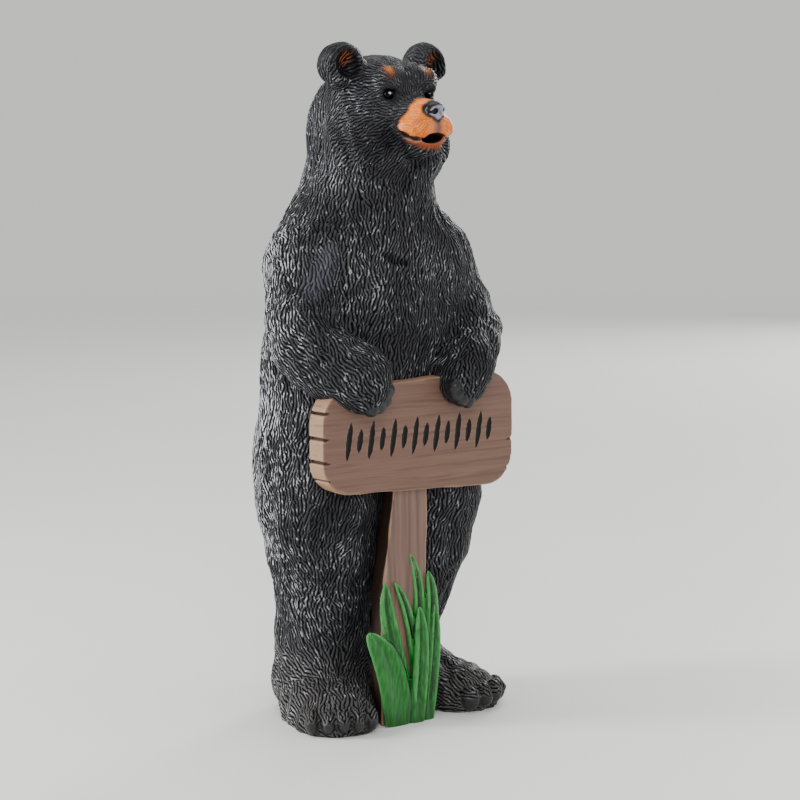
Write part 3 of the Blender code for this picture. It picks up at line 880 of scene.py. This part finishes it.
def make_grass():
    bm = bmesh.new()
    for *line, width, layer in BLADES.values():
        add_blade(bm, line, width, layer)
    skin = Skin(as_mesh(bm, "grass"), GRASS_VOXEL)
    skin.smooth(2)
    skin.push(0.00012 * turbulence(skin.points * (1, 1, 0.25), 0.0016, 8))
    skin.points[:, 2] = np.maximum(skin.points[:, 2], 0)
    skin.marks = {"hollow": skin.hollows(6)}
    add_piece("grass", skin.mesh("grass"), grass_paint())


# The face


def posed(points):
    pose = np.array(head_pose())
    return points @ pose[:3, :3].T + pose[:3, 3]


EYE = (23, -60.8, 559)
EYE_RADIUS = 4.8
GLINT_WAY = Vector((-0.44, -0.88, 0.14)).normalized()


def make_eyes():
    """Two eyeballs with a raised cornea, set in their sockets, each with a painted glint."""
    bm = bmesh.new()
    shine = bm.verts.layers.float.new("glint")
    for side in (-1, 1):
        look = Vector((side * 0.30, -1, 0.02)).normalized()
        made = bmesh.ops.create_uvsphere(bm, u_segments=48, v_segments=32, radius=1)
        for v in made["verts"]:
            out = v.co.normalized()
            bulge = 1 + 0.07 * max(0, out.dot(look) - 0.72) / 0.28
            place = Vector(units(side * EYE[0], *EYE[1:])) + out * EYE_RADIUS * UNIT * bulge
            v.co = head_pose() @ place
            v[shine] = float(ease(out.dot(GLINT_WAY), 0.968, 0.992))
    mesh = as_mesh(bm, "eyes")
    mesh.polygons.foreach_set("use_smooth", np.ones(len(mesh.polygons), bool))
    add_piece("eyes", mesh, eye_paint())


NOSE = [
    ball("tip", (0, -96, 545.5), (8, 7.4, 6.6), blend=3),
    ball("wing", (5.4, -94, 544), (4.8, 5.6, 5.4), blend=4),
    ball("shield", (0, -97, 540.5), (4, 4.6, 5), blend=4),
    ball("nostril", (4.8, -101.5, 543.5), (1.9, 4.2, 2.5), turn=(0, -20, 0), blend=1, cut=True),
    limb("slit", [(5.6, -101, 542.5), (9.2, -96.5, 543)], (1.1, 0.7), blend=1, cut=True),
    limb("groove", [(0, -104.4, 546), (0, -102, 536)], (0.8, 1.1), blend=1.2, cut=True),
]


def make_nose():
    bm = bmesh.new()
    block_out(bm, NOSE, Matrix.Identity(4))
    skin = Skin(as_mesh(bm, "nose"), NOSE_VOXEL)
    for _ in range(5):
        skin.smooth(2)
        skin.push(-melt(np.full(len(skin.points), 0.02), skin.points, NOSE))
    skin.smooth(1)
    skin.marks = {"hollow": skin.hollows(5)}
    skin.points = posed(skin.points)
    add_piece("nose", skin.mesh("nose"), nose_paint())


# Paints


class Value:
    """One socket of a paint, so that sums on it are written as they are read."""

    def __init__(self, paint, socket):
        self.paint = paint
        self.socket = socket

    def maths(self, operation, *numbers):
        places = dict(enumerate(numbers))
        return self.paint.node("ShaderNodeMath", {"operation": operation}, places)

    def __add__(self, other):
        return self.maths("ADD", self, other)

    def __radd__(self, other):
        return self.maths("ADD", other, self)

    def __sub__(self, other):
        return self.maths("SUBTRACT", self, other)

    def __rsub__(self, other):
        return self.maths("SUBTRACT", other, self)

    def __mul__(self, other):
        return self.maths("MULTIPLY", self, other)

    def __rmul__(self, other):
        return self.maths("MULTIPLY", other, self)

    def __truediv__(self, other):
        return self.maths("DIVIDE", self, other)

    def __pow__(self, other):
        return self.maths("POWER", self, other)

    def __abs__(self):
        return self.maths("ABSOLUTE", self)

    def ramp(self, start, end):
        """0 below start and 1 above end."""
        places = {"Value": self, "From Min": start, "From Max": end}
        return self.paint.node("ShaderNodeMapRange", {"interpolation_type": "SMOOTHSTEP"}, places)


class Paint:
    """A material whose nodes are written as sums."""

    def __init__(self, name, specular=0.5, coat_roughness=0.15):
        self.material = bpy.data.materials.new(name)
        self.material.use_nodes = True
        self.tree = self.material.node_tree
        self.shader = self.tree.nodes["Principled BSDF"]
        self.shader.inputs["Specular IOR Level"].default_value = specular
        self.shader.inputs["Coat Roughness"].default_value = coat_roughness
        self.place = self.node("ShaderNodeTexCoord", out="Object")

    def node(self, kind, settings=None, places=None, out=0):
        """Adds a node: its settings first, then the values or links of its sockets."""
        node = self.tree.nodes.new(kind)
        for setting, value in (settings or {}).items():
            setattr(node, setting, value)
        for place, value in (places or {}).items():
            if isinstance(value, Value):
                self.tree.links.new(value.socket, node.inputs[place])
            else:
                node.inputs[place].default_value = value
        return Value(self, node.outputs[out])

    def mark(self, name):
        return self.node("ShaderNodeAttribute", {"attribute_name": name}, out="Fac")

    def axes(self):
        parts = self.tree.nodes.new("ShaderNodeSeparateXYZ")
        self.tree.links.new(self.place.socket, parts.inputs[0])
        return [Value(self, parts.outputs[n]) for n in range(3)]

    def noise(self, per_metre, detail=2.0, stretch=(1, 1, 1)):
        place = self.node("ShaderNodeMapping", {}, {"Vector": self.place, "Scale": stretch})
        places = {"Vector": place, "Scale": per_metre, "Detail": detail}
        return self.node("ShaderNodeTexNoise", {}, places)

    def mix(self, share, first, second):
        places = {0: share, 6: first, 7: second}
        return self.node("ShaderNodeMix", {"data_type": "RGBA"}, places, out=2)

    def bump(self, height, distance, strength=1.0):
        places = {"Height": height, "Distance": distance, "Strength": strength}
        return self.node("ShaderNodeBump", {}, places)

    def finish(self, **places):
        """Feeds the shader: colour, roughness, coat and normal."""
        sockets = {"colour": "Base Color", "coat": "Coat Weight"}
        for name, value in places.items():
            socket = self.shader.inputs[sockets.get(name, name.capitalize())]
            if isinstance(value, Value):
                self.tree.links.new(value.socket, socket)
            else:
                socket.default_value = value
        return self.material


def tint(red, green, blue):
    """A colour given as it looks on a screen, from 0 to 255."""
    return (*[(c / 255) ** 2.2 for c in (red, green, blue)], 1)


def coat_paint():
    """Black fur, dry-brushed with grey on the crests of its strokes, with painted highlights on the crests,
    most along the flanks, and painted shade in its grooves; and the painted face.
    """
    paint = Paint("painted_fur", specular=0.1, coat_roughness=0.3)
    angle = paint.mark("odd").maths("ARCTAN2", paint.mark("odd"), paint.mark("even"))
    crest = (angle * 0.5).maths("COSINE", angle * 0.5)
    bare = paint.mark("bare")
    x, y, z = paint.axes()
    patches = paint.noise(24, 3)
    dashes = paint.noise(190, 2)
    fine = paint.noise(900, 3)
    grit = paint.noise(2600, 2)
    _, backward, _ = surface_way(paint)
    # Painted highlight: more grey on the crests along the flanks and hips, where the rim lights catch them,
    # less low down and on faces turned straight back.
    wear_and_rim_sheen = (abs(x) + y * 0.8).ramp(0.04, 0.13) * (z.ramp(0.04, 0.16) * 0.7 + 0.3)
    wear_and_rim_sheen = wear_and_rim_sheen * (backward.ramp(0.9, 0.6) * 0.85 + 0.15)
    # Grey on the crests of the strokes: dry-brushed paint, and with it a painted highlight on the glossy
    # crests.
    dry_brush_and_sheen = crest * 1.6 + (patches - 0.5) * 0.9 + (dashes - 0.5) * 1.8 + (fine - 0.5) * 0.6 + wear_and_rim_sheen * 0.34
    dry_brushed_and_sheen = dry_brush_and_sheen.ramp(1.66, 2.02) * (1 - bare)
    deep = (1 - crest).ramp(0.18, 0.6) * (1 - bare * 0.8)
    colour = paint.mix((patches * 0.6 + dashes * 0.4).ramp(0.3, 0.7), tint(34, 34, 37), tint(68, 68, 73))
    colour = paint.mix(z.ramp(0.09, 0.03) * 0.3, colour, tint(100, 97, 94))
    # Painted shade: the grooves between the strokes go near black, darker than the black paint.
    colour = paint.mix(deep * 0.97, colour, tint(3, 3, 4))
    colour = paint.mix(dry_brushed_and_sheen * (wear_and_rim_sheen * 0.4 + 0.45), colour, tint(200, 202, 206))
    # Painted sheen: a pale bluish grey on the crests of the smoother place inside the elbow.
    colour = paint.mix(paint.mark("smooth_sheen") * crest * 0.3, colour, tint(112, 110, 126))
    colour = paint.mix(paint.mark("knuckle") * 0.8, colour, tint(24, 24, 27))
    # Painted shade along the chest crease.
    colour = paint.mix(paint.mark("crease") * 0.9, colour, tint(3, 3, 4))
    orange = paint.mix((fine * 0.6 + dashes * 0.4).ramp(0.35, 0.65), tint(212, 90, 15), tint(250, 150, 50))
    # Painted shade in the grooves of the orange fur.
    orange = paint.mix(deep * 0.7, orange, tint(130, 46, 8))
    orange = paint.mix(z.ramp(0.529, 0.521) * 0.25, orange, tint(196, 78, 16))
    colour = paint.mix(paint.mark("muzzle"), colour, orange)
    colour = paint.mix(paint.mark("lip") * (fine.ramp(0.2, 0.6) * 0.4 + 0.45), colour, tint(170, 78, 24))
    for mark, share, shade in (
        ("lip_edge", 0.35, (196, 172, 160)),
        ("philtrum", 0.85, (70, 64, 76)),
        ("brow", 0.8, (204, 116, 32)),
        ("inner_ear", 0.85, (14, 10, 9)),
    ):
        colour = paint.mix(paint.mark(mark) * share, colour, tint(*shade))
    streaks = paint.mark("ear_fur") * (crest * 0.7 + dashes * 0.7).ramp(0.75, 1.0)
    colour = paint.mix(streaks * 0.8, colour, tint(156, 84, 42))
    dark = paint.mark("eye_rim") * 0.9
    dark = dark.maths("MAXIMUM", dark, paint.mark("nose_rim"))
    dark = dark.maths("MAXIMUM", dark, paint.mark("mouth"))
    colour = paint.mix(dark, colour, tint(5, 5, 6))
    rough = 0.42 + (fine - 0.5) * 0.25 + deep * 0.35
    gloss = crest.ramp(0.6, 1.0) * 0.25 * (1 - bare)
    gloss = gloss + paint.mark("muzzle") * 0.5 + paint.mark("knuckle") * 0.5
    relief = crest * (1 - bare) + fine * 0.3 + grit * 0.12
    return paint.finish(colour=colour, roughness=rough, coat=gloss, normal=paint.bump(relief, 0.0006, 0.7))


def board_paint():
    paint = Paint("painted_board", specular=0.25)
    x, _, z = paint.axes()
    z = z - BOARD_MIDDLE_Z
    step = STROKE_ROW_WIDTH / (STROKE_COUNT - 1)
    uneven = (paint.noise(260, 3) - 0.5) * 0.0014
    leaned = (x - z * math.tan(STROKE_LEAN) + uneven) / step + (STROKE_COUNT - 1) / 2
    number = leaned.maths("ROUND", leaned)
    number = number.maths("MAXIMUM", number, 0)
    number = number.maths("MINIMUM", number, STROKE_COUNT - 1)
    odd = number.maths("MODULO", number, 2)
    half = STROKE_HEIGHT / 2 * (1 - odd * (1 - SHORT_STROKE))
    lens = 1 - abs(z / half) ** STROKE_BLUNTNESS
    off = abs(leaned - number) * step
    ink = (lens * (STROKE_WIDTH / 2 * INK_SPREAD) - off).ramp(-0.0001, 0.0002)
    _, normal_y, _ = surface_way(paint)
    ink = ink * (0 - normal_y).ramp(0.3, 0.5)
    grain = paint.mark("grain")
    streak = paint.noise(55, 4, (0.16, 1, 6))
    hair = paint.noise(160, 2, (0.12, 1, 9))
    colour = paint.mix(streak.ramp(0.2, 0.85), tint(107, 81, 71), tint(121, 94, 83))
    colour = paint.mix(hair.ramp(0.55, 0.75) * 0.3, colour, tint(90, 66, 58))
    # Painted highlight: the board's ends and edges, the faces not turned front or back, painted a lighter
    # tan.
    colour = paint.mix(paint.mark("end") * 0.7, colour, tint(164, 130, 102))
    colour = paint.mix(grain.ramp(-0.15, -0.5) * 0.35, colour, tint(80, 58, 50))
    # Painted highlight along the board's ridges and rounded edges.
    colour = paint.mix(paint.mark("hollow").ramp(-0.25, -0.8) * 0.28, colour, tint(170, 136, 110))
    colour = paint.mix(paint.mark("crack").ramp(0.1, 0.5) * 0.9, colour, tint(34, 22, 18))
    colour = paint.mix(ink, colour, tint(6, 7, 10))
    rough = 0.52 + (streak - 0.5) * 0.3 - ink * 0.16
    relief = hair * 0.5 + paint.noise(1500, 2) * 0.25
    return paint.finish(colour=colour, roughness=rough, normal=paint.bump(relief, 0.0005, 0.5))


def surface_way(paint):
    """The surface's own normal, as three values."""
    way = paint.tree.nodes.new("ShaderNodeNewGeometry")
    parts = paint.tree.nodes.new("ShaderNodeSeparateXYZ")
    paint.tree.links.new(way.outputs["Normal"], parts.inputs[0])
    return [Value(paint, parts.outputs[n]) for n in range(3)]


def post_paint():
    paint = Paint("painted_post")
    streak = paint.noise(70, 4, (4, 4, 0.16))
    hair = paint.noise(200, 2, (5, 5, 0.12))
    grain = paint.mark("grain")
    colour = paint.mix(streak.ramp(0.25, 0.8), tint(100, 75, 65), tint(122, 95, 84))
    colour = paint.mix(hair.ramp(0.55, 0.8) * 0.4, colour, tint(80, 56, 48))
    colour = paint.mix(grain.ramp(-0.1, -0.5) * 0.4, colour, tint(72, 50, 42))
    # The post's sides painted dark brown: partly their own darker paint, partly painted shade.
    colour = paint.mix(paint.mark("flank") * 0.9, colour, tint(34, 21, 15))
    # Painted highlight along the post's ridges and edges.
    colour = paint.mix(paint.mark("hollow").ramp(-0.25, -0.8) * 0.5, colour, tint(176, 140, 112))
    rough = 0.5 + (streak - 0.5) * 0.3
    relief = hair * 0.5 + paint.noise(1500, 2) * 0.25
    return paint.finish(colour=colour, roughness=rough, normal=paint.bump(relief, 0.0005, 0.5))


def grass_paint():
    paint = Paint("painted_grass", specular=0.2)
    hollow = paint.mark("hollow")
    strands = paint.noise(260, 3, (2, 2, 0.3))
    _, _, z = paint.axes()
    colour = paint.mix(strands.ramp(0.3, 0.7), tint(11, 80, 24), tint(30, 116, 40))
    # Painted shade in the hollows and the gaps between the blades.
    colour = paint.mix(hollow.ramp(0.1, 0.6) * 0.9, colour, tint(4, 26, 9))
    # Painted highlight on the ridges, edges and tips of the blades.
    colour = paint.mix(hollow.ramp(-0.2, -0.7) * 0.28, colour, tint(120, 200, 122))
    # Painted shade at the foot of the tuft, near the floor.
    colour = paint.mix(z.ramp(0.03, 0.0) * 0.45, colour, tint(12, 54, 20))
    rough = 0.24 + (strands - 0.5) * 0.2
    return paint.finish(colour=colour, roughness=rough, coat=0.3, normal=paint.bump(strands, 0.0006, 0.3))


def eye_paint():
    paint = Paint("painted_eyes", specular=0.08)
    cloud = paint.noise(300, 2)
    colour = paint.mix(cloud.ramp(0.35, 0.65), tint(5, 5, 5), tint(13, 10, 9))
    colour = paint.mix(paint.mark("glint") * 0.9, colour, tint(205, 207, 212))
    return paint.finish(colour=colour, roughness=0.1 + cloud * 0.1)


def nose_paint():
    paint = Paint("painted_nose", specular=0.3)
    pebbles = paint.node("ShaderNodeTexVoronoi", {}, {"Vector": paint.place, "Scale": 900.0})
    cloud = paint.noise(220, 3)
    _, normal_y, normal_z = surface_way(paint)
    pad = (normal_y * -1 - normal_z * 0.25).ramp(0.55, 0.85)
    colour = paint.mix(cloud.ramp(0.3, 0.7), tint(112, 110, 128), tint(150, 148, 166))
    colour = paint.mix(1 - pad, colour, tint(16, 15, 18))
    # Painted shade in the nostrils and the groove.
    colour = paint.mix(paint.mark("hollow").ramp(0.1, 0.4), colour, tint(10, 9, 11))
    rough = 0.26 + cloud * 0.15
    return paint.finish(colour=colour, roughness=rough, normal=paint.bump(pebbles, 0.0003, 0.3))


# The stage


def make_floor():
    """A wide pale floor that fades into the room."""
    bm = bmesh.new()
    bmesh.ops.create_circle(bm, cap_ends=True, segments=96, radius=7.0)
    mesh = as_mesh(bm, "floor")
    floor = bpy.data.objects.new("floor", mesh)
    bpy.context.scene.collection.objects.link(floor)
    paint = Paint("pale_floor", specular=0.3)
    x, y, _ = paint.axes()
    far = (x * x + y * y) ** 0.5
    colour = paint.mix(paint.noise(3, 2), tint(236, 236, 234), tint(241, 241, 239))
    paint.finish(colour=colour, roughness=0.5)
    clear = paint.tree.nodes.new("ShaderNodeBsdfTransparent")
    blend = paint.tree.nodes.new("ShaderNodeMixShader")
    paint.tree.links.new(far.ramp(2.5, 6.5).socket, blend.inputs[0])
    paint.tree.links.new(paint.shader.outputs[0], blend.inputs[1])
    paint.tree.links.new(clear.outputs[0], blend.inputs[2])
    paint.tree.links.new(blend.outputs[0], paint.tree.nodes["Material Output"].inputs[0])
    mesh.materials.append(paint.material)


def add_light(name, place, size, power, aim=(0, 0, 0.3)):
    light = bpy.data.lights.new(name, "AREA")
    light.shape = "RECTANGLE"
    light.size, light.size_y = size
    light.energy = power
    obj = bpy.data.objects.new(name, light)
    obj.location = place
    obj.rotation_euler = (Vector(aim) - Vector(place)).to_track_quat("-Z", "Y").to_euler()
    bpy.context.scene.collection.objects.link(obj)


def light_studio():
    world = bpy.data.worlds.new("room")
    world.use_nodes = True
    world.node_tree.nodes["Background"].inputs["Color"].default_value = (0.88, 0.89, 0.86, 1)
    world.node_tree.nodes["Background"].inputs["Strength"].default_value = 0.86
    bpy.context.scene.world = world
    add_light("key", (-1.5, -2.2, 1.8), (0.9, 0.9), 30)
    add_light("fill", (1.9, -1.5, 0.9), (1.0, 1.6), 10)
    add_light("left_rim", (-1.7, 0.9, 0.9), (0.5, 1.8), 46)
    add_light("right_rim", (3.6, 1.8, 1.9), (1.0, 3.6), 88)
    add_light("top", (0, 0.2, 2.4), (1.4, 1.4), 14)


def place_camera():
    """The camera stands to the bear's right, a little below its eyes, and looks slightly down."""
    heading = math.radians(38)
    away, height = 1.975, 0.51
    picture, focal, horizon, middle = 800, 2178.0, 150.0, 366.0
    ahead = Vector((math.sin(heading), math.cos(heading), 0))
    right = Vector((math.cos(heading), -math.sin(heading), 0))
    data = bpy.data.cameras.new("camera")
    data.sensor_width = 36
    data.lens = focal / picture * data.sensor_width
    camera = bpy.data.objects.new("camera", data)
    shift = (picture / 2 - middle) / focal * away
    camera.location = -ahead * away + right * shift + Vector((0, 0, height))
    pitch = math.atan((picture / 2 - horizon) / focal)
    camera.rotation_euler = (math.radians(90) - pitch, 0, -heading)
    bpy.context.scene.collection.objects.link(camera)
    bpy.context.scene.camera = camera


make_bear()
make_board()
make_post()
make_grass()
make_eyes()
make_nose()
make_floor()
light_studio()
place_camera()
